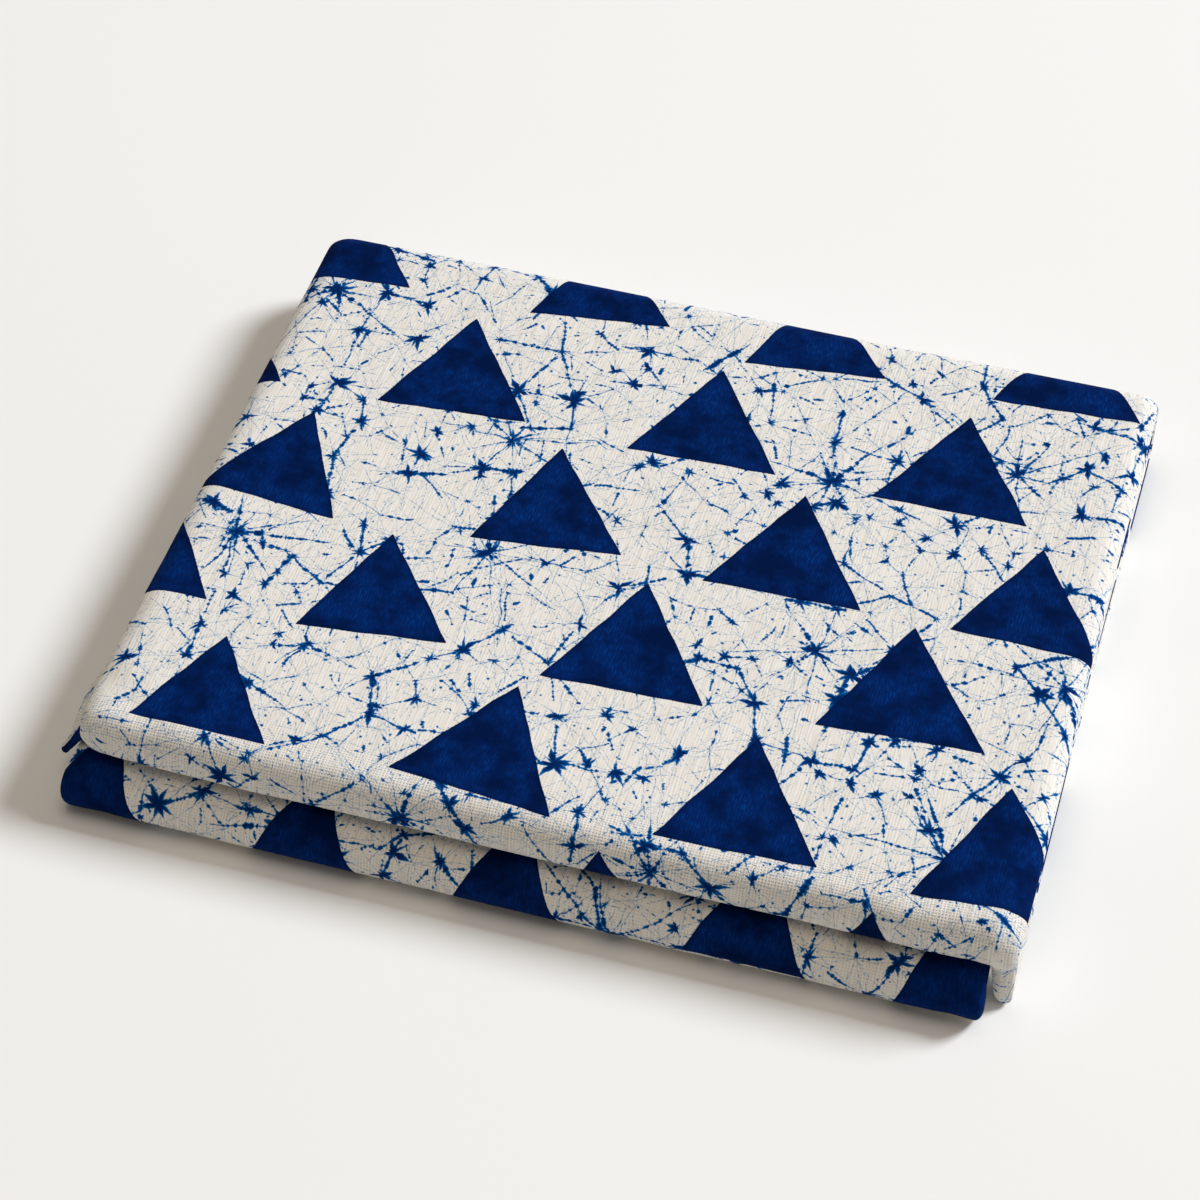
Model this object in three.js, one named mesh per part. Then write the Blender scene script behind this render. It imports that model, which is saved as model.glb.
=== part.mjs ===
// Folded adire cloth: one length of plain-weave cotton, about 2.2 m by 1.25 m, lying folded.
//
// Millimetres, +Z up. X runs along the folds at the front and Y from the front to the spine at the back.
// The origin is on the surface that the cloth lies on, under the middle of the packet.
//
// How it is folded:
// 1. Across X the cloth is doubled, and the doubled cloth is folded in three like a letter. That makes a
//    strip of six runs. The strip's section gives x across it and depth inward from its outer face.
// 2. Along Y both ends of the strip are folded to the middle, and the whole is closed like a book. The
//    strip's outer face then follows one route in the YZ plane: under the upper packet, round its front
//    fold, back over the top, down the spine, under the lower packet, round its front fold and back.
// The solid is the section carried along that route.

import * as THREE from 'three';

// The sheet and its layers
const SHEET = 1.4; // thickness of the cloth
const LAYER_GAP = 0.35; // between two runs of the strip
const STRIP_GAP = 0.6; // between two layers of the strip
const RUNS = 6;
const PITCH = SHEET + LAYER_GAP;
const STRIP = RUNS * PITCH - LAYER_GAP; // thickness of the strip

// The packet
const DEPTH = 313; // upper packet, from its front fold to the spine
const LOWER_REACH = 12; // how far the lower front fold stands out past the upper one
const FOLD_R = STRIP + STRIP_GAP / 2; // outer radius of the two front folds
const PACKET = 2 * FOLD_R; // thickness of the upper or the lower packet
const HEIGHT = 2 * PACKET + STRIP_GAP;
const SPINE_R = 15; // outer radius of the two bends of the spine
const END_CLEARANCE = 2.5; // between the strip's hidden ends and the inside of the spine

const FRONT = -(DEPTH - LOWER_REACH) / 2;
const BACK = FRONT + DEPTH;
const LOWER_FRONT = FRONT - LOWER_REACH;
const HIDDEN_END = BACK - SPINE_R - END_CLEARANCE;

// The strip's route in order. A run goes straight from one y to another, with stations at the marks
// between. A bend turns about its centre, its angles in degrees from +Y towards +Z.
const UPPER_FOLD_Y = FRONT + FOLD_R;
const LOWER_FOLD_Y = LOWER_FRONT + FOLD_R;
const SPINE_Y = BACK - SPINE_R;
const UPPER_MARKS = [20, 33, 54, 110, 210].map((reach) => FRONT + reach);
const LOWER_MARKS = [35, 80, 210].map((reach) => FRONT + reach);
const ROUTE = [
  { run: 'upper, below', from: HIDDEN_END, to: UPPER_FOLD_Y, z: HEIGHT - PACKET, faces: -1, marks: UPPER_MARKS },
  { bend: 'upper front', y: UPPER_FOLD_Y, z: HEIGHT - FOLD_R, radius: FOLD_R, from: 270, to: 90, steps: 8 },
  { run: 'top', from: UPPER_FOLD_Y, to: SPINE_Y, z: HEIGHT, faces: 1, marks: UPPER_MARKS },
  { bend: 'spine, upper', y: SPINE_Y, z: HEIGHT - SPINE_R, radius: SPINE_R, from: 90, to: 0, steps: 3 },
  { bend: 'spine, lower', y: SPINE_Y, z: SPINE_R, radius: SPINE_R, from: 0, to: -90, steps: 3 },
  { run: 'underside', from: SPINE_Y, to: LOWER_FOLD_Y, z: 0, faces: -1, marks: LOWER_MARKS },
  { bend: 'lower front', y: LOWER_FOLD_Y, z: FOLD_R, radius: FOLD_R, from: 270, to: 90, steps: 8 },
  { run: 'lower, above', from: LOWER_FOLD_Y, to: HIDDEN_END, z: PACKET, faces: 1, marks: LOWER_MARKS },
];

// Where the folded sides and the flap's edge lie along X, at places along Y. X is measured from the
// middle of the spine here, and PLAN_SHIFT brings the middle of the whole packet over the origin.
const PLAN_SHIFT = 2.25;
const UPPER_SIDES = [
  { y: FRONT, left: -188, right: 189.5, flap: -193.5 },
  { y: FRONT + 22, left: -190, right: 190, flap: -191 },
  { y: FRONT + 60, left: -189.6, right: 190, flap: -187.5 },
  { y: FRONT + 170, left: -190, right: 189.3, flap: -186 },
  { y: BACK, left: -190, right: 190, flap: -187 },
];
const LOWER_SIDES = [
  { y: LOWER_FRONT, left: -194.5, right: 180.5, flap: -192 },
  { y: FRONT + 35, left: -193.8, right: 181, flap: -190.5 },
  { y: FRONT + 80, left: -192.6, right: 186.5, flap: -189 },
  { y: FRONT + 150, left: -191.5, right: 189, flap: -188 },
  { y: BACK, left: -190, right: 190, flap: -187 },
];

// The strip's section, along the cloth from one free edge to the other. Each row is a run, numbered
// inward from the outer face, with the bend at its far end. A bend's reach is how far it bulges along
// X, and its inset is how far it lies inside the side it turns at.
const SECTION = [
  { run: 3, turnsAt: 'left', reach: 8.5, inset: 0, steps: 6 },
  { run: 0, turnsAt: 'right', reach: 8.5, inset: 0, steps: 6, sags: true },
  { run: 5, turnsAt: 'flap', reach: 1.2, inset: 0, steps: 4 },
  { run: 4, turnsAt: 'right', reach: 5, inset: 9, steps: 4 },
  { run: 1, turnsAt: 'left', reach: 5, inset: 3, steps: 4 },
  { run: 2 },
];
const FREE_EDGE_INSET = 22; // both free edges stop this far inside the right-hand side
const RUN_MARKS = [0.22, 0.7, 0.94]; // places across every run, as shares of the packet's width

// The upper packet overhangs the lower one at the front right, so its outer bend sags there. A power
// under 1 makes the sagging bend a full loop.
const SAG = { fullY: FRONT + 6, endY: FRONT + 54, atBottom: 22.5, atTop: 5, power: 0.85 };

// Slow rises and hollows, full at the top and none where the cloth lies flat
const SWELL = { height: 0.5, alongX: 310, alongY: 240 };

function smooth(from, to, value) {
  const t = THREE.MathUtils.clamp((value - from) / (to - from), 0, 1);
  return t * t * (3 - 2 * t);
}

function sidesAt(y, table) {
  const next = Math.max(1, table.findIndex((row) => row.y >= y));
  const [before, after] = [table[next - 1], table[next]];
  const t = smooth(before.y, after.y, y);
  const between = (name) => THREE.MathUtils.lerp(before[name], after[name], t);
  return { left: between('left'), right: between('right'), flap: between('flap') };
}

// Stations along the route: a point of the strip's outer face, the way that it faces, and the sides
function routeStations() {
  const stations = [];
  const add = (y, z, angle) => {
    const last = stations[stations.length - 1];
    if (last && Math.hypot(last.y - y, last.z - z) < LAYER_GAP) return;
    const onUpper = z > HEIGHT / 2;
    const sides = sidesAt(y, onUpper ? UPPER_SIDES : LOWER_SIDES);
    stations.push({ y, z, outY: Math.cos(angle), outZ: Math.sin(angle), onUpper, sides });
  };
  for (const row of ROUTE) {
    if (row.bend) {
      for (let i = 0; i <= row.steps; i += 1) {
        const angle = THREE.MathUtils.degToRad(THREE.MathUtils.lerp(row.from, row.to, i / row.steps));
        add(row.y + row.radius * Math.cos(angle), row.z + row.radius * Math.sin(angle), angle);
      }
    } else {
      const onward = Math.sign(row.to - row.from);
      const marks = [...row.marks].sort((a, b) => onward * (a - b));
      for (const y of [row.from, ...marks, row.to]) add(y, row.z, (row.faces * Math.PI) / 2);
    }
  }
  return stations;
}

const runDepth = (run) => SHEET / 2 + run * PITCH;

// One face of the cloth in the strip's section, as points of x, depth and slack. The face is 1 for the
// left of the way along the cloth, -1 for the right and 0 for the middle of the sheet. Slack is how
// freely a point can sag.
function sectionFace(sides, face) {
  const points = [];
  const marks = RUN_MARKS.map((share) => THREE.MathUtils.lerp(sides.left, sides.right, share));
  const freeX = sides.right - FREE_EDGE_INSET;
  let x = freeX;
  SECTION.forEach((row, index) => {
    const turns = row.turnsAt !== undefined;
    const onward = row.turnsAt === 'right' || !turns ? 1 : -1;
    const tip = turns ? sides[row.turnsAt] - onward * (row.inset + SHEET / 2) : freeX;
    const end = turns ? tip - onward * row.reach : freeX;
    const depth = runDepth(row.run);
    const faceDepth = depth + (face * onward * SHEET) / 2;
    const between = marks.filter((mark) => (mark - x) * (mark - end) < 0);
    between.sort((a, b) => onward * (a - b));
    for (const place of [x, ...between, end]) points.push({ x: place, depth: faceDepth, slack: 0 });
    x = end;
    if (!turns) return;
    const nextDepth = runDepth(SECTION[index + 1].run);
    const down = Math.sign(nextDepth - depth);
    const outside = (-face * onward * down * SHEET) / 2;
    const half = Math.abs(nextDepth - depth) / 2 + outside;
    for (let i = 1; i < row.steps; i += 1) {
      const angle = (Math.PI * i) / row.steps;
      points.push({
        x: end + onward * (row.reach + outside) * Math.sin(angle),
        depth: (depth + nextDepth) / 2 - down * half * Math.cos(angle),
        slack: row.sags ? Math.sin(angle) ** SAG.power : 0,
      });
    }
  });
  return points;
}

// Carries a point of the section to its place on the route, then lets it swell and sag
function placePoint({ x, depth, slack }, station) {
  const y = station.y - depth * station.outY;
  const z = station.z - depth * station.outZ;
  const rise = Math.sin((2 * Math.PI * x) / SWELL.alongX) * Math.cos((2 * Math.PI * y) / SWELL.alongY);
  const swell = (SWELL.height * rise * z) / HEIGHT;
  const unheld = station.onUpper ? slack * (1 - smooth(SAG.fullY, SAG.endY, y)) : 0;
  const share = (z - PACKET) / (HEIGHT - PACKET);
  const sag = unheld * THREE.MathUtils.lerp(SAG.atBottom, SAG.atTop, share);
  return new THREE.Vector3(x, y, z + swell - sag);
}

function sheetNormal(middle, s, i) {
  const alongRoute = middle[s + 1][i].clone().sub(middle[s - 1][i]);
  const alongCloth = middle[s][i + 1].clone().sub(middle[s][i - 1]);
  return alongRoute.cross(alongCloth).normalize();
}

// The cloth's outline at every station: up its left face and back down its right face
function outlines(stations) {
  const section = stations.map((station) => sectionFace(station.sides, 0));
  const middle = section.map((points, s) => points.map((point) => placePoint(point, stations[s])));
  const faceAt = (s, face) => sectionFace(stations[s].sides, face).map((point, i) => {
    const atEnd = s === 0 || s === stations.length - 1;
    if (atEnd || point.slack === 0) return placePoint(point, stations[s]);
    return middle[s][i].clone().addScaledVector(sheetNormal(middle, s, i), (face * SHEET) / 2);
  });
  return stations.map((station, s) => [...faceAt(s, 1), ...faceAt(s, -1).reverse()]);
}

function foldedCloth() {
  const stations = routeStations();
  const rings = outlines(stations);

  // Each four-sided patch is split the same way in space, so that layers that lie together stay apart
  const count = rings[0].length;
  const faces = [];
  for (let s = 0; s + 1 < rings.length; s += 1) {
    const backward = stations[s + 1].y < stations[s].y;
    for (let i = 0; i < count; i += 1) {
      const next = (i + 1) % count;
      const [a, b, c, d] = [s * count + i, s * count + next, (s + 1) * count + next, (s + 1) * count + i];
      const leftward = rings[s][next].x < rings[s][i].x;
      if (leftward === backward) faces.push(a, d, b, b, d, c);
      else faces.push(a, d, c, a, c, b);
    }
  }

  // The strip's two hidden ends, which both face the spine
  for (const s of [0, rings.length - 1]) {
    const contour = rings[s].map((point) => new THREE.Vector2(point.x, point.z));
    for (const [a, b, c] of THREE.ShapeUtils.triangulateShape(contour, [])) {
      faces.push(s * count + c, s * count + b, s * count + a);
    }
  }

  const geometry = new THREE.BufferGeometry().setFromPoints(rings.flat());
  geometry.setIndex(faces);
  geometry.computeVertexNormals();
  return geometry;
}

const dyedCotton = new THREE.MeshStandardMaterial({ color: 0xc9cbd2, roughness: 0.92, metalness: 0 });

const cloth = new THREE.Mesh(foldedCloth(), dyedCotton);
cloth.name = 'cloth';
cloth.position.x = PLAN_SHIFT;

const packet = new THREE.Group();
packet.add(cloth);

export default packet;
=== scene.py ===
import math

import bpy
import numpy as np
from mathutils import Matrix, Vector


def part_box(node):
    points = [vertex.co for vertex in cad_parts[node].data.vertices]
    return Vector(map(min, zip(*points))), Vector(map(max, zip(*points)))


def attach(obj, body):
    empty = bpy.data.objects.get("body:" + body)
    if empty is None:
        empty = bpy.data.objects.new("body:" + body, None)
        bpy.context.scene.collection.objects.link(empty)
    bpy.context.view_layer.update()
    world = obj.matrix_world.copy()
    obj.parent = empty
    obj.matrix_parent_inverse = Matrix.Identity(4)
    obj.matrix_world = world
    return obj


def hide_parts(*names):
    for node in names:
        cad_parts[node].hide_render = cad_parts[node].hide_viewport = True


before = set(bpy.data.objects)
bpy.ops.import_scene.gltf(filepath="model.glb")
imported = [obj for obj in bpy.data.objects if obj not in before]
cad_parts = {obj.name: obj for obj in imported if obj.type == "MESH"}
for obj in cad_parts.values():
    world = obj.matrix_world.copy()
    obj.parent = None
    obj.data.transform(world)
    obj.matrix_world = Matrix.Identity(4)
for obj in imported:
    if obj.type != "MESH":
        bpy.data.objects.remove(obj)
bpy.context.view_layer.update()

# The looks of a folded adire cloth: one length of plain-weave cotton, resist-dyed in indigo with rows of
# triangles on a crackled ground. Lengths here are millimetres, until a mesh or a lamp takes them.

MM = 0.001

# ---------------------------------------------------------------- the fold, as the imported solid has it

SHEET = 1.15  # thickness of the cloth
SOLID_SHEET = 1.4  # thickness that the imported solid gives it
LAYER_GAP = 0.35
STRIP_GAP = 0.6
RUNS = 6
PITCH = SOLID_SHEET + LAYER_GAP
STRIP = RUNS * PITCH - LAYER_GAP
FOLD_R = STRIP + STRIP_GAP / 2
PACKET = 2 * FOLD_R
HEIGHT = 2 * PACKET + STRIP_GAP
SPINE_R = 15
END_CLEARANCE = 2.5
LOWER_REACH = 12
CLEAR = 0.02  # between the cloth and the floor

BOX_LOW, BOX_HIGH = (np.array(corner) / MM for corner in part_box("cloth"))
BACK = float(BOX_HIGH[1])
LOWER_FRONT = float(BOX_LOW[1])
FRONT = LOWER_FRONT + LOWER_REACH
UPPER_FOLD_Y = FRONT + FOLD_R
LOWER_FOLD_Y = LOWER_FRONT + FOLD_R
SPINE_Y = BACK - SPINE_R
HIDDEN_END = SPINE_Y - END_CLEARANCE
PLAN_SHIFT = 2.25  # from the middle of the spine to the middle of the packet

# Places along Y, and there the left folded side, the right folded side and the flap's edge along X, and
# how far the outer bends bulge at the right and at the left
UPPER_SIDES = [
    (FRONT, -189.6, 189.5, -202, 9, 4),
    (FRONT + 22, -191.4, 190, -198, 9, 6.5),
    (FRONT + 60, -191, 190, -189, 8.5, 8.5),
    (FRONT + 170, -190, 189.3, -186, 8.5, 8.5),
    (BACK, -190, 190, -187, 8.5, 8.5),
]
LOWER_SIDES = [
    (LOWER_FRONT, -194.5, 180.6, -192, 2.2, 4),
    (FRONT + 10, -194.3, 178.8, -191.5, 2.4, 5),
    (FRONT + 40, -193.8, 179, -190.5, 3.2, 6),
    (FRONT + 80, -192.6, 186.5, -189, 5, 8.5),
    (FRONT + 150, -191.5, 189, -188, 7, 8.5),
    (BACK, -190, 190, -187, 8.5, 8.5),
]
LEFT, RIGHT, FLAP, RIGHT_BULGE, LEFT_BULGE = range(5)
BULGE = {RIGHT: RIGHT_BULGE, LEFT: LEFT_BULGE}

# The strip's section from one free edge of the cloth to the other. Each row is a run, numbered inward
# from the outer face, how many points it has, and the bend at its far end: the side it turns at, how far
# it bulges if that isn't in the tables above, how far inside that side it lies, how many steps it takes
# and whether it is free to sag.
SECTION = [
    (3, 8, LEFT, None, 0, 12, 0),
    (0, 118, RIGHT, None, 0, 16, 1),
    (5, 18, FLAP, 0.9, 0, 6, 0),
    (4, 17, RIGHT, 4, 9, 6, 0),
    (1, 7, LEFT, 1.2, 3, 6, 0),
    (2, 8, None, 0, 0, 0, 0),
]
OUTER_RUN = 0
FREE_EDGE_INSET = 22

# How the upper packet's loose bend at the right sags near the front: fully below "low" in the outer face's
# height and little above "high", fuller in its outer half than in its inner one, and swinging forward. Its
# dye runs down it on the face that is at "front" and round it on the face that is at "side".
SAG = {"full": FRONT + 10, "none": FRONT + 54, "bottom": 22.5, "top": 2, "low": 22.4, "high": 24.2,
       "front": FRONT + 5, "side": FRONT + 27}
SAG_OUTER, SAG_INNER = 4.2, 1.6
SAG_SWING = 3

# How the flap's edge hangs beyond the left side, near the front
FLAP_DROOP = {"full": FRONT + 10, "none": FRONT + 48, "drop": 16, "over": 11}

# How the upper fold's lower corner is drawn in at the left
TUCK = {"in": 9, "from": 34, "to": 22, "over": 20, "deep": 9}

# Slow swells, and how the top eases down to each side: which side, over how much of it, and by how much
SWELL = {"height": 0.5, "along x": 310, "along y": 240}
SHOULDERS = [(-1, 13, 3.2), (1, 11, 1.8)]
SHOULDER_POWER = 1.5
SHOULDER_END = 1.2  # how far past a side it goes on easing down, as a share of its width

# The main creases. On the top: from here to there, how wide, and how far it rises (a trough is negative)
TOP_CREASES = [
    (148, -141, 186, -112, 5, -1.0),
    (168, -146, 188, -134, 3.2, 0.6),
    (-187, -118, -158, -143, 5.5, -0.8),
    (-130, -133, -20, -131, 7, -0.35),
    (20, -132, 120, -134, 7, -0.35),
    (158, 8, 188, 46, 6, -0.5),
    (-188, -52, -150, -38, 6, -0.45),
    (-96, 60, -30, 96, 11, 0.35),
    (60, -70, 128, -34, 12, -0.35),
    (120, 118, 184, 134, 8, -0.4),
]
# On the front folds: where, at the foot and at the top of the packet, how wide, how far it stands out,
# and the height from which it is felt
FRONT_CREASES = [
    (170, 178, 4, -0.5, 0),
    (152, 158, 6, 0.25, 0),
    (-174, -180, 5, -0.4, 0),
    (-120, -112, 9, 0.25, 0),
    (-38, -44, 10, -0.3, 0),
    (62, 66, 11, 0.3, 0),
    (112, 104, 9, -0.25, 0),
    (-205, -205, 50, -2.2, PACKET),
    (0, 0, 400, -1.2, PACKET),
]
TOP_POWER = 3  # how fast the creases of the top die away below it
FELT = (-1, 4)  # from just under that height to just over it
FRONT_DEPTH = 26  # how far back a crease of the front folds fades out
FRONT_STEP = 3  # half of the height over which the upper front gives way to the lower one
ROLL = {"forward": 2.2, "at": 25.5, "spread": 4.5}  # how the upper fold rolls out over the lower one


def smooth(low, high, value):
    t = np.clip((value - low) / (high - low), 0, 1)
    return t * t * (3 - 2 * t)


def sides_at(y, table):
    """The table's places at each y, a column each."""
    marks = np.array([row[0] for row in table])
    places = np.array([row[1:] for row in table])
    after = np.clip(np.searchsorted(marks, y), 1, len(marks) - 1)
    t = smooth(marks[after - 1], marks[after], y)[:, None]
    return places[after - 1] * (1 - t) + places[after] * t


class Route:
    """Stations along the strip's outer face: where they are, the way that they face, and how far along
    the cloth they lie, which starts from the upper front fold and is y on the top."""

    def __init__(self):
        self.y, self.z, self.angle = [], [], []

    def run(self, start, end, height, facing, steps):
        for share in np.linspace(0, 1, steps, endpoint=False):
            self.add(start + (end - start) * share, height, facing * math.pi / 2)

    def bend(self, y, z, radius, start, end, steps):
        for angle in np.radians(np.linspace(start, end, steps, endpoint=False)):
            self.add(y + radius * math.cos(angle), z + radius * math.sin(angle), angle)

    def add(self, y, z, angle):
        self.y.append(y)
        self.z.append(z)
        self.angle.append(angle)

    def finish(self):
        self.y, self.z, self.angle = (np.array(x) for x in (self.y, self.z, self.angle))
        steps = np.hypot(np.diff(self.y), np.diff(self.z))
        self.along = np.concatenate([[0], np.cumsum(steps)])
        top = np.argmax((self.z == HEIGHT) & (self.angle == math.pi / 2))
        self.along += self.y[top] - FRONT - self.along[top]
        self.upper = self.z > HEIGHT / 2
        upper, lower = sides_at(self.y, UPPER_SIDES), sides_at(self.y, LOWER_SIDES)
        self.sides = np.where(self.upper[:, None], upper, lower)
        return self


def strip_route():
    """The whole route, from one hidden end to the other. The last number of each part is its stations."""
    route = Route()
    route.run(HIDDEN_END, UPPER_FOLD_Y, HEIGHT - PACKET, -1, 14)
    route.bend(UPPER_FOLD_Y, HEIGHT - FOLD_R, FOLD_R, 270, 210, 18)
    route.bend(UPPER_FOLD_Y, HEIGHT - FOLD_R, FOLD_R, 210, 90, 16)
    route.run(UPPER_FOLD_Y, SPINE_Y, HEIGHT, 1, 84)
    route.bend(SPINE_Y, HEIGHT - SPINE_R, SPINE_R, 90, 0, 9)
    route.add(SPINE_Y + SPINE_R, HEIGHT - SPINE_R, 0)
    route.bend(SPINE_Y, SPINE_R, SPINE_R, 0, -90, 9)
    route.run(SPINE_Y, LOWER_FOLD_Y, 0, -1, 22)
    route.bend(LOWER_FOLD_Y, FOLD_R, FOLD_R, 270, 90, 24)
    route.run(LOWER_FOLD_Y, HIDDEN_END, PACKET, 1, 14)
    route.add(HIDDEN_END, PACKET, math.pi / 2)
    return route.finish()


def run_depth(run):
    return SOLID_SHEET / 2 + run * PITCH


def strip_section(sides):
    """The middle of the cloth at every station: x, depth in the strip, how far round a bend that is free
    to sag, and place across the cloth, which is x on the outer run."""
    x, depth, turn = [], [], []
    free = sides[:, RIGHT] - FREE_EDGE_INSET
    start = free
    outer = 0
    for index, (run, points, turns_at, reach, inset, steps, sags) in enumerate(SECTION):
        onward = 1 if turns_at in (RIGHT, None) else -1
        reach = sides[:, BULGE[turns_at]] if reach is None else reach
        if turns_at is None:
            end = free
        else:
            end = sides[:, turns_at] - onward * (inset + SOLID_SHEET / 2 + reach)
        if run == OUTER_RUN:
            outer = len(x)
        shares = np.linspace(0, 1, points, endpoint=turns_at is None)
        if run != OUTER_RUN:
            shares = (1 - np.cos(math.pi * shares)) / 2  # closer together by the bends
        for share in shares:
            x.append(start + (end - start) * share)
            depth.append(run_depth(run))
            turn.append(0)
        start = end
        if turns_at is None:
            break
        here, after = run_depth(run), run_depth(SECTION[index + 1][0])
        for angle in np.linspace(0, math.pi, steps, endpoint=False):
            x.append(end + onward * reach * math.sin(angle))
            depth.append((here + after) / 2 - (after - here) / 2 * math.cos(angle))
            turn.append(angle / math.pi * sags)
    x = np.stack(x, axis=1)
    depth = np.array(depth)
    across = np.hypot(np.diff(x, axis=1), np.diff(depth)[None, :])
    across = np.concatenate([np.zeros((len(x), 1)), np.cumsum(across, axis=1)], axis=1)
    across += (x[:, outer] - across[:, outer])[:, None]
    return x, depth, np.array(turn), across


def crease(x, y, start, end, width):
    """How much of a crease from start to end is felt at a place, from 0 to 1."""
    run = np.array(end) - start
    share = np.clip(((x - start[0]) * run[0] + (y - start[1]) * run[1]) / run.dot(run), 0, 1)
    away = np.hypot(x - start[0] - share * run[0], y - start[1] - share * run[1])
    return np.exp(-((away / width) ** 2))


def settle(x, y, z):
    """How the whole packet has settled: slow swells, sides eased down, and the main creases. Each layer
    moves as those around it do, so none goes through another."""
    share = z / HEIGHT
    swell = np.sin(math.tau * x / SWELL["along x"]) * np.cos(math.tau * y / SWELL["along y"])
    rise = SWELL["height"] * swell * share
    for side, width, drop in SHOULDERS:
        edge = UPPER_SIDES[-1][1 + (LEFT if side < 0 else RIGHT)] + PLAN_SHIFT
        near = np.clip(1 - side * (edge - x) / width, 0, SHOULDER_END)
        rise -= drop * near**2 * share**SHOULDER_POWER
    for x0, y0, x1, y1, width, height in TOP_CREASES:
        rise += height * crease(x, y, (x0, y0), (x1, y1), width) * share**TOP_POWER
    out = np.zeros_like(x)
    front = FRONT - LOWER_REACH * (1 - smooth(PACKET - FRONT_STEP, PACKET + FRONT_STEP, z))
    near = 1 - smooth(0, FRONT_DEPTH, y - front)
    for foot, top, width, height, above in FRONT_CREASES:
        felt = smooth(above + FELT[0], above + FELT[1], z)
        out += height * felt * np.exp(-(((x - foot - (top - foot) * share) / width) ** 2))
    rolled = np.exp(-(((z - ROLL["at"]) / ROLL["spread"]) ** 2)) * smooth(PACKET, PACKET + FELT[1], z)
    out += ROLL["forward"] * rolled
    return x, y - out * near, z + rise


def folded_sheet():
    """The middle of the folded cloth as a grid of points, stations by points of the section, and its
    flat places."""
    route = strip_route()
    x, depth, turn, across = strip_section(route.sides)
    y = route.y[:, None] - depth * np.cos(route.angle)[:, None]
    z = route.z[:, None] - depth * np.sin(route.angle)[:, None]
    fullness = np.where(turn < 0.5, SAG_OUTER, SAG_INNER)
    slack = 1 - (1 - np.sin(np.pi * turn).clip(0, 1)) ** fullness
    unheld = slack * (1 - smooth(SAG["full"], SAG["none"], y)) * route.upper[:, None]
    low = 1 - smooth(SAG["low"], SAG["high"], route.z)[:, None]
    sag = unheld * (SAG["top"] + (SAG["bottom"] - SAG["top"]) * low)
    hangs = smooth(0, FLAP_DROOP["over"], route.sides[:, LEFT][:, None] - x) * route.upper[:, None]
    hangs = hangs * (1 - smooth(FLAP_DROOP["full"], FLAP_DROOP["none"], y))
    tuck = smooth(0, 1, (route.sides[:, LEFT][:, None] + TUCK["over"] - x) / TUCK["over"])
    tuck = tuck * (1 - smooth(TUCK["to"], TUCK["from"], z)) * (1 - smooth(0, TUCK["deep"], y - FRONT))
    x = x + TUCK["in"] * tuck * route.upper[:, None]
    x, y, z = settle(x + PLAN_SHIFT, y, z - (SOLID_SHEET - SHEET) / 2 + CLEAR)
    points = np.stack([x, y - unheld * low * SAG_SWING, z - sag - hangs * FLAP_DROOP["drop"]], axis=-1)
    # The cloth of the sagging bend is the same cloth, a little further along at the front, and a little
    # further across at the side
    aside = smooth(SAG["front"], SAG["side"], y)
    flat = np.stack([across + sag * aside, route.along[:, None] - sag * (1 - aside)], axis=-1)
    return points, flat


def grid_normals(points):
    """The way that the sheet's outer face looks, at each point."""
    along, across = np.gradient(points, axis=0), np.gradient(points, axis=1)
    normal = np.cross(along, across)
    return normal / np.linalg.norm(normal, axis=-1, keepdims=True)


def sheet_mesh(name, points, flat, thickness):
    """A closed sheet about a grid of points. Its UV map is the flat cloth, in millimetres."""
    rows, columns = points.shape[:2]
    normal = grid_normals(points)
    faces = [points + normal * thickness / 2, points - normal * thickness / 2]
    verts = np.concatenate([face.reshape(-1, 3) for face in faces]) * MM
    index = np.arange(rows * columns).reshape(rows, columns)
    front = [index[:-1, :-1], index[1:, :-1], index[1:, 1:], index[:-1, 1:]]
    quads = [np.stack(front, -1).reshape(-1, 4)]
    quads.append(quads[0][:, ::-1] + rows * columns)
    rim = np.concatenate([index[0, :-1], index[:-1, -1], index[-1, :0:-1], index[:0:-1, 0]])
    onward = np.roll(rim, -1)
    quads.append(np.stack([rim, onward, onward + rows * columns, rim + rows * columns], -1))
    quads = np.concatenate(quads)
    mesh = bpy.data.meshes.new(name)
    mesh.from_pydata(verts.tolist(), [], quads.tolist())
    places = np.tile(flat.reshape(-1, 2), (2, 1))
    layer = mesh.uv_layers.new(name="flat")
    corners = np.empty(len(mesh.loops), np.int32)
    mesh.loops.foreach_get("vertex_index", corners)
    layer.uv.foreach_set("vector", places[corners].astype(np.float32).ravel())
    mesh.polygons.foreach_set("use_smooth", [True] * len(mesh.polygons))
    mesh.validate()
    return mesh


# ---------------------------------------------------------------- shaders


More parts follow.
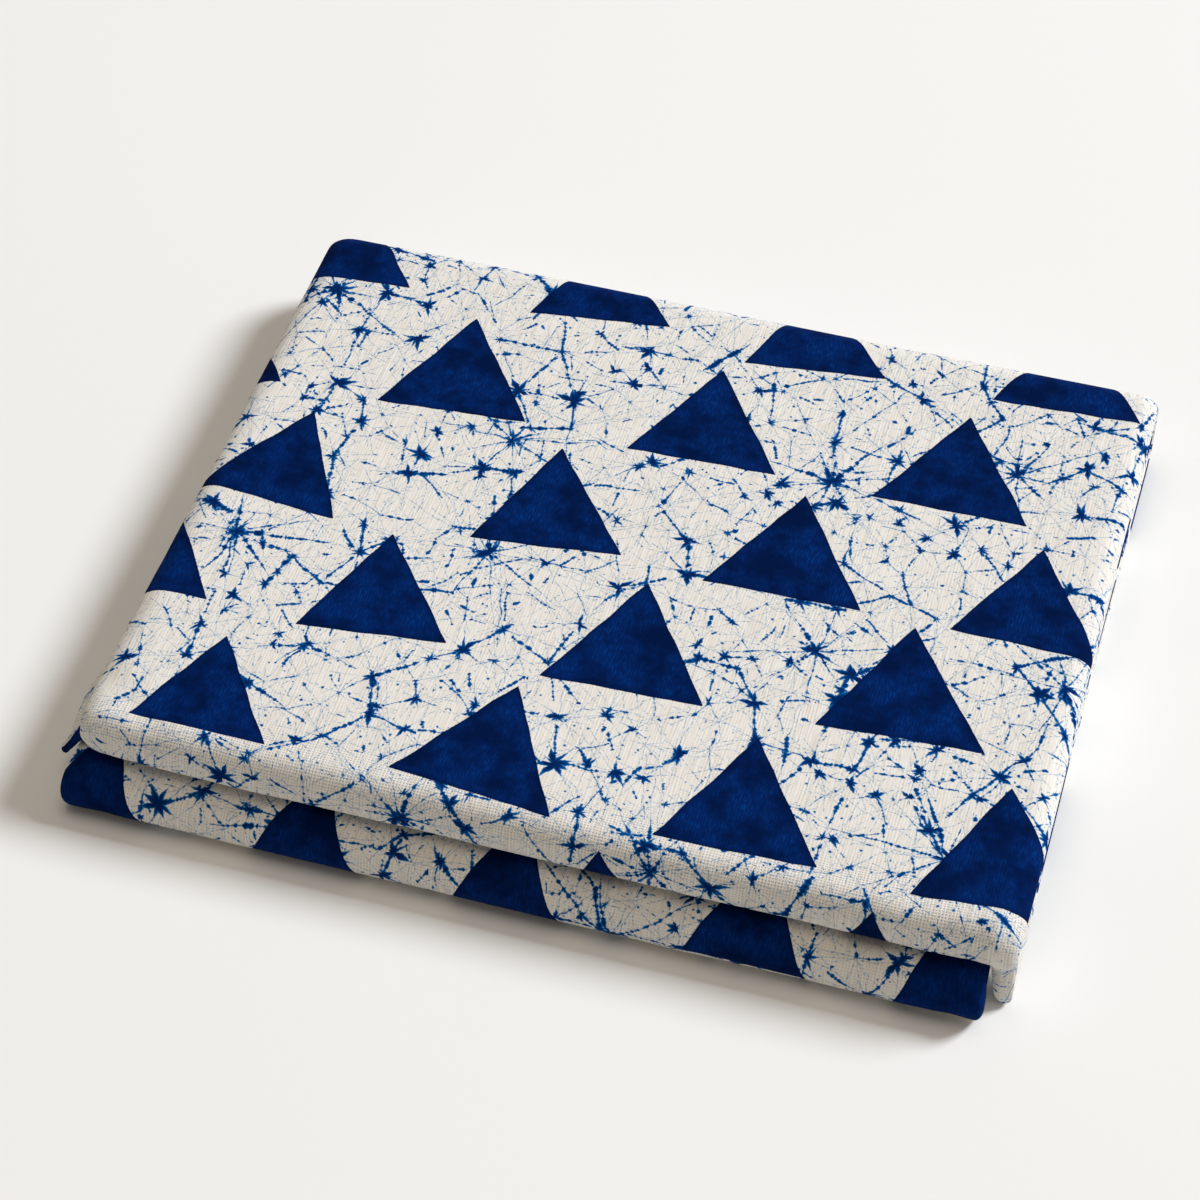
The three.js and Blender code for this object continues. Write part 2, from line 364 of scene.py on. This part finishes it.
class Wire:
    """An output socket that sums can be written on. Numbers give Math nodes, and vectors Vector Math."""

    def __init__(self, socket):
        self.socket = socket
        self.tree = socket.id_data

    def node(self, kind, settings, inputs, output=0):
        """Adds a node to the same tree: its settings first, then the values or links of its sockets."""
        made = self.tree.nodes.new("ShaderNode" + kind)
        for name, value in settings.items():
            if name == "stops":
                set_stops(made.color_ramp, value)
            else:
                setattr(made, name, value)
        for name, value in inputs.items():
            if isinstance(value, Wire):
                self.tree.links.new(value.socket, made.inputs[name])
            else:
                made.inputs[name].default_value = value
        return Wire(made.outputs[output])

    def also(self, output):
        """Another output of the node that this one comes from."""
        return Wire(self.socket.node.outputs[output])

    def maths(self, operation, *others):
        values = dict(enumerate((self, *others)))
        return self.node("Math", {"operation": operation}, values)

    def vector(self, operation, other=None, output=0):
        inputs = {0: self} if other is None else {0: self, 1: other}
        return self.node("VectorMath", {"operation": operation}, inputs, output)

    @property
    def is_vector(self):
        return self.socket.type in ("VECTOR", "RGBA")

    def either(self, operation, other, swap=False):
        """A Math or Vector Math node on this and other, the other way round if swap."""
        vector = self.is_vector or (isinstance(other, Wire) and other.is_vector)
        if vector and isinstance(other, (int, float)):
            other = (other, other, other)
        first, second = (other, self) if swap else (self, other)
        kind = "VectorMath" if vector else "Math"
        return self.node(kind, {"operation": operation}, {0: first, 1: second})

    def __add__(self, other):
        return self.either("ADD", other)

    __radd__ = __add__

    def __sub__(self, other):
        return self.either("SUBTRACT", other)

    def __rsub__(self, other):
        return self.either("SUBTRACT", other, swap=True)

    def __mul__(self, other):
        return self.either("MULTIPLY", other)

    __rmul__ = __mul__

    def __truediv__(self, other):
        return self.either("DIVIDE", other)

    def __rtruediv__(self, other):
        return self.either("DIVIDE", other, swap=True)

    def __abs__(self):
        return self.maths("ABSOLUTE")

    def __neg__(self):
        return self * -1

    def floor(self):
        return self.vector("FLOOR") if self.is_vector else self.maths("FLOOR")

    def length(self):
        return self.vector("LENGTH", output="Value")

    def dot(self, other):
        return self.vector("DOT_PRODUCT", other, "Value")

    def most(self, other):
        return self.maths("MAXIMUM", other)

    def least(self, other):
        return self.maths("MINIMUM", other)

    def between(self, low, high):
        """0 at low and below, 1 at high and above, and even between, whichever of the two is more."""
        return self.node("MapRange", {}, {0: self, 1: low, 2: high, 3: 0.0, 4: 1.0})

    def part(self, axis):
        return self.node("SeparateXYZ", {}, {0: self}, axis)

    def mixed(self, first, second):
        """The colour first where this is 0, and second where it is 1."""
        settings = {"data_type": "RGBA", "clamp_factor": True}
        return self.node("Mix", settings, {0: self, 6: first, 7: second}, 2)


def set_stops(ramp, stops):
    while len(ramp.elements) < len(stops):
        ramp.elements.new(1)
    for element, (position, colour) in zip(ramp.elements, stops):
        element.position = position
        element.color = colour


def colour(red, green, blue):
    """A colour given as 8-bit sRGB, as a linear RGBA."""
    channels = (c / 255 for c in (red, green, blue))
    linear = [c / 12.92 if c <= 0.04045 else ((c + 0.055) / 1.055) ** 2.4 for c in channels]
    return (*linear, 1.0)


def new_material(name, roughness, specular):
    material = bpy.data.materials.new(name)
    material.use_nodes = True
    surface = next(n for n in material.node_tree.nodes if n.type == "BSDF_PRINCIPLED")
    surface.inputs["Roughness"].default_value = roughness
    surface.inputs["Specular IOR Level"].default_value = specular
    return material, surface


# Colours of the cloth
UNDYED = colour(236, 232, 225)
UNDYED_DULL = colour(223, 216, 205)
# Painted shade: the colour of the weave's holes, standing for the shaded cloth seen through them
PINHOLE_SHADE = colour(146, 132, 118)
INDIGO = colour(1, 33, 92)
# Deeper patches of the dye, and also the painted shade in the holes of the dye
INDIGO_DEEP_AND_SHADE = colour(0, 21, 64)
INDIGO_EDGE = colour(0, 16, 52)
# Painted highlight: a paler blue for glints of light along the dyed threads
INDIGO_HIGHLIGHT = colour(3, 58, 132)
CRACK_FAINT = colour(110, 156, 190)
CRACK_HALO = colour(150, 186, 208)
CRACK_STOPS = [
    (0, colour(33, 115, 172)),
    (0.25, colour(6, 88, 152)),
    (0.55, colour(2, 58, 121)),
    (1, colour(1, 36, 90)),
]

# The print: rows of triangles, each row half a pitch along from the last
COLUMN_PITCH = 108.5
ROW_PITCH = 67.3
FIRST_ROW = 31
FIRST_COLUMN = 73.75
ROW_DRIFT = 0.105  # how far each row is stamped to the left of the one in front, for each mm between
ROW_SLOPE = 0.026
TRIANGLE = {"base": 65, "height": 57, "skew": 1.5, "corner": 1.0}

# No two stamps land alike: how far each may be off its even place either way along U and along V, by how
# many degrees it may be turned either way, how much smaller or larger its print may be, and the seed
UNEVEN = {"along u": 9, "along v": 5, "turned": 7, "size": 0.05, "seed": 3}

# On the lower packet the print comes round again a little early, and drawn in
LATER = {"from": 330, "to": 600, "shift": -22.5, "drawn in": 0.26, "slid": 9}

# Past the right fold, on the layers inside, the print is slid along
INSIDE = {"from": 290, "to": 310, "slid": -24}

# Stamps that were never made, near the left of the row in front of the lip
MISSED = {"left of": -45, "below": 12}

# The largest stars of the crackle: how far apart they are on the whole, how far one may stray from its even
# place as a share of that, the seed of their places, and the sizes they lie between
STARS = {"apart": 104, "stray": 0.85, "seed": 4, "smallest": 0.7, "largest": 1.4}

# Each large star: a blot with short rays, and long beaded rays, both by how many, how far they reach and
# how wide they are for a star of size 1, and how much they keep to the middle. A ray's length and width
# vary by chance.
BLOT = {"rays": 9, "reach": 9.5, "width": 2.7, "power": 1.25}
LONG_RAYS = {"rays": 10, "reach": 46, "width": 0.95, "power": 0.45}
RAY_LEAN = 0.5  # how far a ray may be off its even place, as a share of the way to the next
SHORTEST_RAY = 0.2
THINNEST_RAY, THINNEST_LONG_RAY = 0.45, 0.25
RAY_BEADS, RAY_THREAD = 1.6, 0.3  # how wide a long ray is at its beads, and between them

# The two nets of cracks between the stars: how far apart their hubs are and the seed; how much likelier a
# crack is where the crackle is dense; the chances from which a crack starts to show and shows fully, its
# width at its beads and between them, and how much wider it is near a hub; the same for faint cracks; the
# least chance that gives a hub its star, how much a star owes to the crackle's density, and its rays
NETS = [
    {
        "hubs": 25, "seed": 2, "gain": 0.08,
        "shows": (0.41, 0.44), "beads": 0.85, "thread": 0.13, "hub": 0.75,
        "faint shows": (0.36, 0.48), "faint": 0.3, "faint thread": -0.02,
        "star from": 0.15, "owes": 0, "rays": 8, "reach": (3, 7), "width": (0.8, 2.1), "power": 1.2,
    },
    {
        "hubs": 12.5, "seed": 3, "gain": 0.1,
        "shows": (0.53, 0.56), "beads": 0.85, "thread": 0.05, "hub": 0,
        "faint shows": (0.48, 0.54), "faint": 0.28, "faint thread": 0,
        "star from": 0.45, "owes": 0.7, "rays": 7, "reach": (0.8, 5), "width": (0.1, 2.2), "power": 1,
    },
]
NEAR_HUB = 9
NET_SPREAD = 0.95
CRACK_LUCK = 3.1  # how far apart two cracks' middles are before their luck differs

# Round specks of dye: how far apart, how much likelier where the crackle is dense, the chances from which
# one shows and is largest, and its size then
SPECKS = {"apart": 5.6, "gain": 0.2, "less": 0.25, "shows": (0.4, 1), "size": 0.8}

# How cracks wander: lumps of the wandering, how strong its finer lumps are, and how far it goes. The blots
# have one more, of their own.
WANDER = [(19, 1, 2.2), (8, 0, 1.2)]
BLOT_WANDER = (3.6, 0, 1.4)
DENSE = {"lumps": 62, "from": 0.38, "to": 0.56}
RAGGED_CRACK, RAGGED_FAINT = 0.45, 0.3

WEAVE = 1.28  # from thread to thread
BEAD = 2.3  # from swell to swell along a crack
BEAD_DEPTH = (0.42, 0.7)

# Where the cloth goes round a fold and its weave opens: from where it sets in along V to where it is in
# full, to where it starts to end and ends, and how far it opens, which also deepens the painted shade in its
# holes
ROUND_FOLDS = [(-10, -1, 15, 27, 1), (652, 662, 680, 692, 0.5)]

THREADS_WANDER = (60, 1, 2.0)
GROUND_THREADS = (0.36, 0.58)
HOLE = (0.8, 0.3)  # how near the middle between threads a hole starts, and where it is in full
# How much painted shade the holes get in the dye
HOLE_SHADE_IN_DYE = 0.5
OVER = 0.28  # how much the thread that is on top stands out
RELIEF = 0.25

# Unevenness of the dye, and painted highlights on its threads. A pair is where something starts and where it
# is in full.
RAGGED_LUMPS, WOBBLE_LUMPS = 1.1, 14
RAGGED_PRINT, WOBBLE_PRINT = 0.22, 1.0
PATCH_LUMPS = 17
PATCH = (0.34, 0.62)
# Painted highlights: where they show among the dye's patches, in strokes along the warp, how far inside a
# triangle, and how strong
HIGHLIGHT_PATCH, HIGHLIGHT_STROKES, HIGHLIGHT_INSIDE, HIGHLIGHT_SHARE = (0.42, 0.72), (0.45, 0.72), (-0.8, -3), 0.7
EDGE_INSIDE, EDGE_SHARE = (-1.3, -0.3), 0.5
CRACK_DEEP = 1.3  # how far inside a crack it is darkest
HALO, HALO_SHARE = (-0.5, 0.1), 0.25
FAINT_SOFT, FAINT_SHARE = 0.45, 0.45
CRACK_SOFT, PRINT_SOFT = 0.28, 0.2


def noise(place, size, detail=0.0, roughness=0.5, output=0):
    """Soft noise whose lumps are about size across."""
    inputs = {"Vector": place, "Scale": 1 / size, "Detail": detail, "Roughness": roughness}
    return place.node("TexNoise", {"noise_dimensions": "2D"}, inputs, output)


def chance(place):
    """Three random numbers from 0 to 1 for each place, as a vector."""
    return place.node("TexWhiteNoise", {"noise_dimensions": "3D"}, {"Vector": place}, 1)


def pair(u, v):
    """A place on the flat cloth, or any two values, as a vector."""
    return u.node("CombineXYZ", {}, {0: u, 1: v, 2: 0.0})


def triangle_rows(place, odd):
    """Distance to the nearest triangle of the even or the odd rows, negative inside it."""
    size = (COLUMN_PITCH, 2 * ROW_PITCH, 1)
    cells = (place - (COLUMN_PITCH / 2 * (odd - 1), ROW_PITCH * (odd - 1), 0)) / size
    cell = cells.floor()
    number = cell + (0, 0, UNEVEN["seed"] + odd / 2)
    luck = chance(number) - (0.5, 0.5, 0.5)
    off = luck * (2 * UNEVEN["along u"], 2 * UNEVEN["along v"], math.radians(2 * UNEVEN["turned"]))
    scale = (chance(number + (0, 0, 40)).part(0) - 0.5) * 2 * UNEVEN["size"] + 1
    local = (cells - cell - (0.5, 0.5, 0)) * size - off * (1, 1, 0)
    inputs = {"Vector": local, "Angle": -off.part(2)}
    local = local.node("VectorRotate", {"rotation_type": "Z_AXIS"}, inputs)
    local = local.node("VectorMath", {"operation": "SCALE"}, {0: local, 3: 1 / scale})
    half, height, skew = TRIANGLE["base"] / 2, TRIANGLE["height"], TRIANGLE["skew"]
    apex = Vector((skew, height * 2 / 3, 0))
    edges = [
        (Vector((0, -1, 0)), Vector((0, -height / 3, 0))),
        (Vector((-height, half + skew, 0)).normalized(), apex),
        (Vector((height, half - skew, 0)).normalized(), apex),
    ]
    sides = [local.dot(tuple(n)) - n.dot(p) for n, p in edges]
    corner = TRIANGLE["corner"]
    return sides[0].maths("SMOOTH_MAX", sides[1], corner).maths("SMOOTH_MAX", sides[2], corner)


def wander(place, lumps, detail, far):
    """A way to wander off by at each place, of up to about half of far."""
    return (noise(place, lumps, detail, output=1) - (0.5, 0.5, 0.5)) * (far, far, 0)


def beads(away, own):
    """How full a line is at a place that is away along it: it swells and thins as dye does in a crack.
    own is the line's own number."""
    return noise(pair(away, own * 97), BEAD, 1.5, 0.6).between(*BEAD_DEPTH)


def starburst(offset, own, rays, reach, width, power=1, beaded=False):
    """How far inside the rays of one star a place is. offset is the way from the star's middle, and own
    its own number, from 0 to 1."""
    away = offset.length()
    turn = offset.part(1).maths("ARCTAN2", offset.part(0)) * (rays / math.tau) + own * rays
    ray = turn.floor()
    luck = chance(ray.node("CombineXYZ", {}, {0: ray.maths("FLOORED_MODULO", rays), 1: own, 2: rays}))
    lean = turn - ray - 0.5 + (luck.part(0) - 0.5) * RAY_LEAN
    across = abs(lean) * away * (math.tau / rays)
    share = (1 - away / ((luck.part(1) * (1 - SHORTEST_RAY) + SHORTEST_RAY) * reach)).most(0)
    if power != 1:
        share = share.maths("POWER", power)
    if beaded:
        share = share * (beads(away, luck.part(2)) * RAY_BEADS + RAY_THREAD)
        share = share * (luck.part(2) + THINNEST_LONG_RAY)
    else:
        share = share * (luck.part(2) + THINNEST_RAY)
    return share * width - across


def nearest_star(place):
    """The way to a place from the nearest of the largest stars, that star's own number and its size."""
    shifted = place + (STARS["seed"] * 53.1, STARS["seed"] * 29.7, 0)
    inputs = {"Vector": shifted, "Scale": 1 / STARS["apart"], "Randomness": STARS["stray"]}
    star = place.node("TexVoronoi", {"voronoi_dimensions": "2D", "feature": "F1"}, inputs, "Position")
    own = star.also("Color")
    size = own.part(1) * (STARS["largest"] - STARS["smallest"]) + STARS["smallest"]
    return shifted - star, own.part(0), size


def crack_net(place, size, seed):
    """A net of cracks from hub to neighbouring hub: how far off the nearest one is, how full it is there,
    a soft number that each crack has as its own, the way from the nearest hub, and that hub's number."""
    shifted = place + (seed * 37.7, seed * 11.3, 0)
    inputs = {"Vector": shifted, "Scale": 1 / size, "Randomness": NET_SPREAD}
    first = place.node("TexVoronoi", {"voronoi_dimensions": "2D", "feature": "F1"}, inputs, "Position")
    second = place.node("TexVoronoi", {"voronoi_dimensions": "2D", "feature": "F2"}, inputs, "Position")
    offset = shifted - first
    span = second - first
    along = offset.dot(span) / span.dot(span)
    foot = span.node("VectorMath", {"operation": "SCALE"}, {0: span, 3: along})
    luck = noise(first + second, CRACK_LUCK)
    full = beads(foot.length(), luck)
    return (offset - foot).length(), full, luck, offset, first.also("Color").part(0)


def triangles(uv):
    """Distance to the nearest printed triangle, negative inside."""
    u, v = uv.part(0), uv.part(1)
    later = v.between(LATER["from"], LATER["to"])
    print_v = v - later * LATER["shift"] - FIRST_ROW
    print_u = u * (later * LATER["drawn in"] + 1) + print_v * ROW_DRIFT + later * LATER["slid"] - FIRST_COLUMN
    print_u = print_u + u.between(INSIDE["from"], INSIDE["to"]) * INSIDE["slid"]
    place = pair(print_u, print_v - u * ROW_SLOPE)
    missed = u.between(MISSED["left of"] + 1, MISSED["left of"])
    missed = missed * v.between(MISSED["below"], MISSED["below"] - 1) * COLUMN_PITCH
    return triangle_rows(place, 0).least(triangle_rows(place, 1)) + missed


def net_dye(place, dense, net):
    """How far inside the dye of one net's cracks and stars a place is, and of its faint cracks."""
    gap, full, luck, offset, own = crack_net(place, net["hubs"], net["seed"])
    likely = luck + dense * net["gain"]
    near = (1 - offset.length() / NEAR_HUB).most(0)
    wide = full * net["beads"] + near * net["hub"] + net["thread"]
    strong = wide * likely.between(*net["shows"]) - gap
    faint = likely.between(*net["faint shows"]) * net["faint"] + net["faint thread"] - gap

    weight = own.between(net["star from"], 1) * (dense * net["owes"] + (1 - net["owes"]))
    (least_reach, more_reach), (least_width, more_width) = net["reach"], net["width"]
    reach, width = weight * more_reach + least_reach, weight * more_width + least_width
    return strong.most(starburst(offset, own, net["rays"], reach, width, net["power"])), faint


def crackle(uv, ragged):
    """How far inside the crackle's dye a place is, in its strong lines and in its faint ones."""
    bent = uv + wander(uv, *WANDER[0])
    bent = bent + wander(uv + (5, 44, 0), *WANDER[1])
    dense = noise(uv + (31, 5, 0), DENSE["lumps"]).between(DENSE["from"], DENSE["to"])

    offset, own, size = nearest_star(bent)
    blotted = offset + wander(uv + (17, 61, 0), *BLOT_WANDER)
    strong = starburst(blotted, own, BLOT["rays"], size * BLOT["reach"], size * BLOT["width"], BLOT["power"])
    reach = size * LONG_RAYS["reach"]
    rays, width, power = LONG_RAYS["rays"], LONG_RAYS["width"], LONG_RAYS["power"]
    strong = strong.most(starburst(offset, own + 0.31, rays, reach, width, power, beaded=True))

    (coarse, coarse_faint), (fine, fine_faint) = (net_dye(bent, dense, net) for net in NETS)
    strong = strong.most(coarse).most(fine)
    faint = coarse_faint.most(fine_faint)

    inputs = {"Vector": bent, "Scale": 1 / SPECKS["apart"]}
    speck = uv.node("TexVoronoi", {"voronoi_dimensions": "2D"}, inputs)
    shown = (speck.also("Color").part(0) - SPECKS["less"] + dense * SPECKS["gain"]).between(*SPECKS["shows"])
    strong = strong.most(shown * SPECKS["size"] - speck * SPECKS["apart"])
    return strong + ragged * RAGGED_CRACK, faint + ragged * RAGGED_FAINT


def inked(inside, softness):
    """A crisp mask that is 1 inside."""
    return inside.between(-softness / 2, softness / 2)


def cloth_material():
    material, surface = new_material("dyed cotton", roughness=0.9, specular=0.03)
    tree = material.node_tree
    uv = Wire(tree.nodes.new("ShaderNodeUVMap").outputs[0])
    uv.socket.node.uv_map = "flat"
    v = uv.part(1)

    # Threads wander a little, and the weave opens round a fold
    woven = uv + wander(uv, *THREADS_WANDER)
    warp_wave, weft_wave = ((woven.part(axis) * (math.pi / WEAVE)).maths("SINE") for axis in (0, 1))
    warp, weft = abs(warp_wave), abs(weft_wave)
    along_warp = noise(woven * (1 / 0.75, 1 / 20, 1), 1, 1)
    short_warp = noise(woven * (1 / 0.7, 1 / 3.4, 1) + (3, 8, 0), 1, 1)
    stretched = 0
    for sets_in, full, until, ends, share in ROUND_FOLDS:
        stretched = v.between(sets_in, full) * v.between(ends, until) * share + stretched
    # Painted shade: the gaps between threads, which are painted darker
    hole_shade = warp.most(weft).between(*HOLE)

    # Where the print and the crackle are
    ragged = noise(uv, RAGGED_LUMPS) - 0.5
    wobble = noise(uv + (91, 17, 0), WOBBLE_LUMPS) - 0.5
    triangle = triangles(uv) + ragged * RAGGED_PRINT + wobble * WOBBLE_PRINT
    strong, faint = crackle(uv, ragged)

    # Undyed ground: paler and duller threads, with pinholes painted darker as painted shade in the gaps
    # between threads, most where the weave opens round a fold
    ground = (along_warp * 0.7 + short_warp * 0.3).between(*GROUND_THREADS).mixed(UNDYED_DULL, UNDYED)
    ground = (hole_shade * (stretched * 0.6 + 0.1)).mixed(ground, PINHOLE_SHADE)

    # Dye: uneven, with painted highlights as paler short strokes along the warp, and darkest at a triangle's
    # edges
    patch = noise(uv + (7, 3, 0), PATCH_LUMPS, 3, 0.65)
    dye = patch.between(*PATCH).mixed(INDIGO_DEEP_AND_SHADE, INDIGO)
    # Painted highlight: paler glints in short strokes along the warp threads, inside the triangles
    painted_highlight = patch.between(*HIGHLIGHT_PATCH) * short_warp.between(*HIGHLIGHT_STROKES) * triangle.between(*HIGHLIGHT_INSIDE)
    dye = (painted_highlight * HIGHLIGHT_SHARE).mixed(dye, INDIGO_HIGHLIGHT)
    # Painted shade in the weave's holes in the dye too
    dye = (hole_shade * HOLE_SHADE_IN_DYE).mixed(dye, INDIGO_DEEP_AND_SHADE)
    dye = (triangle.between(*EDGE_INSIDE) * EDGE_SHARE).mixed(dye, INDIGO_EDGE)

    ramp = strong.node("ValToRGB", {"stops": CRACK_STOPS}, {0: strong.between(0, CRACK_DEEP)})
    colours = (strong.between(*HALO) * HALO_SHARE).mixed(ground, CRACK_HALO)
    colours = (inked(faint, FAINT_SOFT) * FAINT_SHARE).mixed(colours, CRACK_FAINT)
    colours = inked(strong, CRACK_SOFT).mixed(colours, ramp)
    colours = inked(-triangle, PRINT_SOFT).mixed(colours, dye)
    tree.links.new(colours.socket, surface.inputs["Base Color"])

    # Relief: warp over weft and weft over warp by turns, plainest where the weave opens
    over = warp_wave * weft_wave * stretched * OVER
    grid = (warp * (1 + over)).most(weft * (stretched * 0.5 + 0.5 - over))
    height = grid * (stretched * 0.55 + 0.45) + along_warp * 0.7
    bump = uv.node("Bump", {}, {"Strength": 0.5, "Distance": RELIEF * MM, "Height": height})
    tree.links.new(bump.socket, surface.inputs["Normal"])
    return material


# ---------------------------------------------------------------- studio

AIM = Vector((-17.6, 9.3, 0))
CAMERA_AWAY = 1365.6
CAMERA_AZIMUTH = 16.43
CAMERA_ELEVATION = 47.73
LENS = 96.45
SENSOR = 36

KEY_AZIMUTH = 127.5
KEY_ELEVATION = 38.8
KEY_AWAY = 12.0
KEY_SIZE = 3.9
KEY_SHARE = 0.70  # of the light on the top of the cloth; the rest is overhead's and the room's
KEY_COLOUR = (0.875, 0.92, 0.985)
OVERHEAD_AWAY = 4.0
OVERHEAD_SIZE = 3.0
OVERHEAD_SHARE = 0.22
OVERHEAD_COLOUR = (1.0, 0.91, 0.8)
ROOM = 0.21
ROOM_COLOUR = (1.0, 0.905, 0.785, 1.0)
BACKDROP = colour(226, 225, 222)  # what shows past the end of the floor

FLOOR_SIDE = 12.0
FLOOR_COLOUR = colour(243, 242, 239)


def way_from(azimuth, elevation):
    """The unit vector towards a viewpoint: azimuth 0 is in front, on -Y, and 90 is on +X."""
    azimuth, elevation = math.radians(azimuth), math.radians(elevation)
    flat = math.cos(elevation)
    return Vector((math.sin(azimuth) * flat, -math.cos(azimuth) * flat, math.sin(elevation)))


def look(obj, place, aim):
    obj.location = place
    obj.rotation_euler = (aim - place).to_track_quat("-Z", "Y").to_euler()


def add_camera():
    data = bpy.data.cameras.new("camera")
    data.lens = LENS
    data.sensor_width = SENSOR
    camera = bpy.data.objects.new("camera", data)
    bpy.context.scene.collection.objects.link(camera)
    aim = AIM * MM
    look(camera, aim + way_from(CAMERA_AZIMUTH, CAMERA_ELEVATION) * CAMERA_AWAY * MM, aim)
    bpy.context.scene.camera = camera


def add_light(name, way, away, size, share, tint):
    """A round lamp that faces the cloth and gives its top that share of white light."""
    data = bpy.data.lights.new(name, "AREA")
    data.shape = "DISK"
    data.size = size
    data.energy = share * (math.pi * away) ** 2 / way.z
    data.color = tint
    lamp = bpy.data.objects.new(name, data)
    bpy.context.scene.collection.objects.link(lamp)
    look(lamp, way * away, Vector((0, 0, 0)))


def add_room():
    world = bpy.data.worlds.new("room")
    world.use_nodes = True
    tree = world.node_tree
    background = tree.nodes["Background"]
    seen = Wire(tree.nodes.new("ShaderNodeLightPath").outputs["Is Camera Ray"])
    dim = tuple(part * ROOM for part in ROOM_COLOUR[:3]) + (1.0,)
    tree.links.new(seen.mixed(dim, BACKDROP).socket, background.inputs["Color"])
    background.inputs["Strength"].default_value = 1
    bpy.context.scene.world = world


def add_floor():
    mesh = bpy.data.meshes.new("floor")
    half = FLOOR_SIDE / 2
    corners = [(-half, -half, 0), (half, -half, 0), (half, half, 0), (-half, half, 0)]
    mesh.from_pydata(corners, [], [(0, 1, 2, 3)])
    floor = bpy.data.objects.new("floor", mesh)
    bpy.context.scene.collection.objects.link(floor)
    material, surface = new_material("pale floor", roughness=0.9, specular=0.04)
    surface.inputs["Base Color"].default_value = FLOOR_COLOUR
    mesh.materials.append(material)


def add_cloth():
    points, flat = folded_sheet()
    mesh = sheet_mesh("adire cloth", points, flat, SHEET)
    mesh.materials.append(cloth_material())
    cloth = bpy.data.objects.new("adire_cloth", mesh)
    bpy.context.scene.collection.objects.link(cloth)
    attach(cloth, "root")
    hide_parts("cloth")


add_camera()
add_light("key", way_from(KEY_AZIMUTH, KEY_ELEVATION), KEY_AWAY, KEY_SIZE, KEY_SHARE, KEY_COLOUR)
add_light("overhead", Vector((0, 0, 1)), OVERHEAD_AWAY, OVERHEAD_SIZE, OVERHEAD_SHARE, OVERHEAD_COLOUR)
add_room()
add_floor()
add_cloth()
bpy.context.scene.view_settings.view_transform = "Standard"
